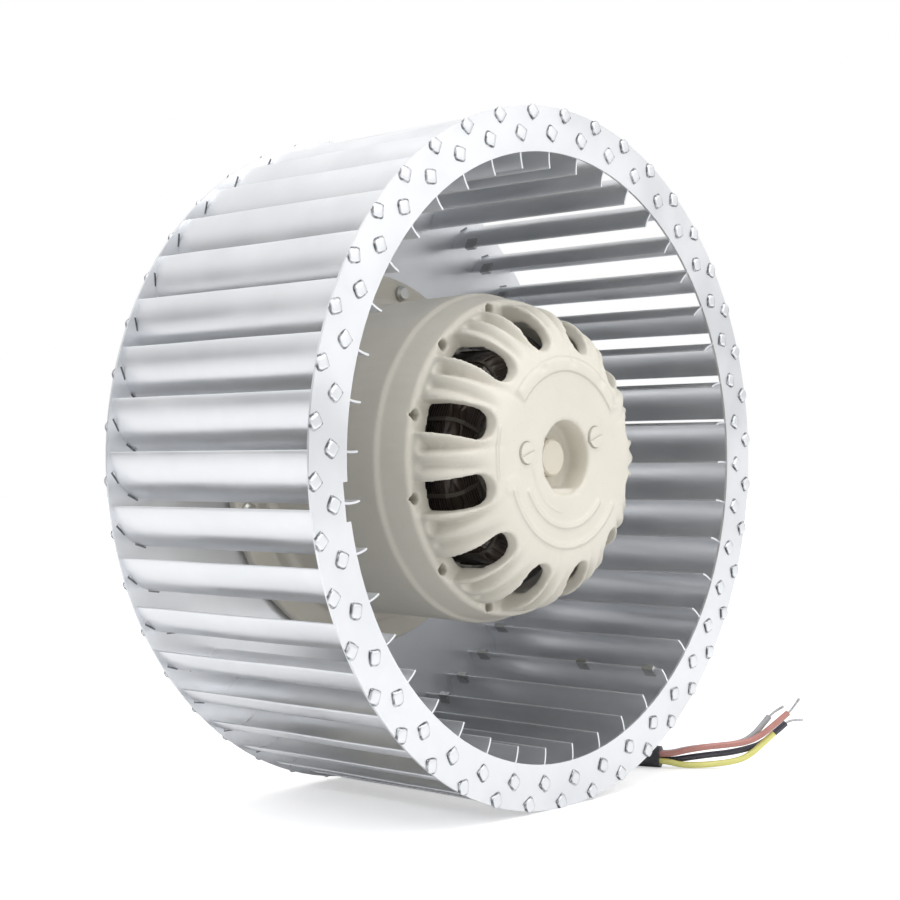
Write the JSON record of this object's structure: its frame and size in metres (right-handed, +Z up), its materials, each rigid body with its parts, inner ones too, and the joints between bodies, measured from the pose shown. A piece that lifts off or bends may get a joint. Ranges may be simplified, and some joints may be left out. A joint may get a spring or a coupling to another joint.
{
  "type": "centrifugal fan",
  "caption": "Forward curved centrifugal fan wheel on an external rotor motor, with a rear mounting flange and a supply cable with stripped conductors.",
  "frame": {"origin": "centre of the rear mounting face of the fixed flange, on the wheel's axis", "axes": "Y along the wheel's axis, +Y out of the rear mounting face and -Y out of the inlet; +Z up as the fan stands on its rim; +X to the right seen from the inlet"},
  "size_m": [0.2827, 0.2219, 0.281],
  "materials": {
    "galvanised_steel": "satin",
    "cast_paint": "satin",
    "zinc_screw": "satin",
    "spring_steel": "satin",
    "bearing_steel": "polished",
    "shaft_steel": "ground",
    "core_steel": "laminated",
    "cage_aluminium": "cast",
    "winding_copper": "enamelled",
    "insulation_film": "matte",
    "lacing_cord": "braided",
    "protector_case": "matte",
    "black_rubber": "matte",
    "black_plastic": "matte",
    "sheath_pvc": "satin",
    "yellow_pvc": "glossy",
    "black_pvc": "glossy",
    "brown_pvc": "glossy",
    "grey_pvc": "glossy",
    "tinned_copper": "tinned"
  },
  "bodies": {
    "motor_mount": {"stator_bush": "cast_paint", "rear_bearing_outer": "bearing_steel", "front_bearing_outer": "bearing_steel", "bearing_shields": "bearing_steel", "preload_spring": "spring_steel", "bush_cap": "black_plastic", "stator_core": "core_steel", "slot_insulation_front": "insulation_film", "slot_insulation_rear": "insulation_film", "slot_coils": "winding_copper", "winding_front": "winding_copper", "winding_rear": "winding_copper", "winding_lacing": "lacing_cord", "thermal_protector": "protector_case", "cable_gland": "black_rubber", "cable_clip": "black_plastic", "clip_screws": "zinc_screw", "earth_screw": "zinc_screw", "supply_cable": "sheath_pvc", "conductor_yellow": "yellow_pvc", "conductor_black": "black_pvc", "conductor_brown": "brown_pvc", "conductor_grey": "grey_pvc", "wire_ends": "tinned_copper"},
    "wheel": {"inlet_ring": "galvanised_steel", "back_plate": "galvanised_steel", "blades_1": "galvanised_steel", "blades_2": "galvanised_steel", "blades_3": "galvanised_steel", "blades_4": "galvanised_steel", "blades_5": "galvanised_steel", "blades_6": "galvanised_steel", "blades_7": "galvanised_steel", "balance_clips": "spring_steel", "rotor_shell": "cast_paint", "face_plugs": "cast_paint", "flange_screws": "zinc_screw", "flange_nuts": "zinc_screw", "shaft": "shaft_steel", "bearing_spacer": "shaft_steel", "shaft_circlip": "spring_steel", "rear_bearing_inner": "bearing_steel", "front_bearing_inner": "bearing_steel", "rear_bearing_balls": "bearing_steel", "front_bearing_balls": "bearing_steel", "rotor_core": "core_steel", "rotor_end_ring_rear": "cage_aluminium", "rotor_end_ring_front": "cage_aluminium"}
  },
  "joints": [
    {"name": "impeller_spin", "type": "hinge", "parent": "motor_mount", "child": "wheel", "pos_m": [0, 0, 0], "axis": [0, 1, 0], "continuous": true}
  ]
}
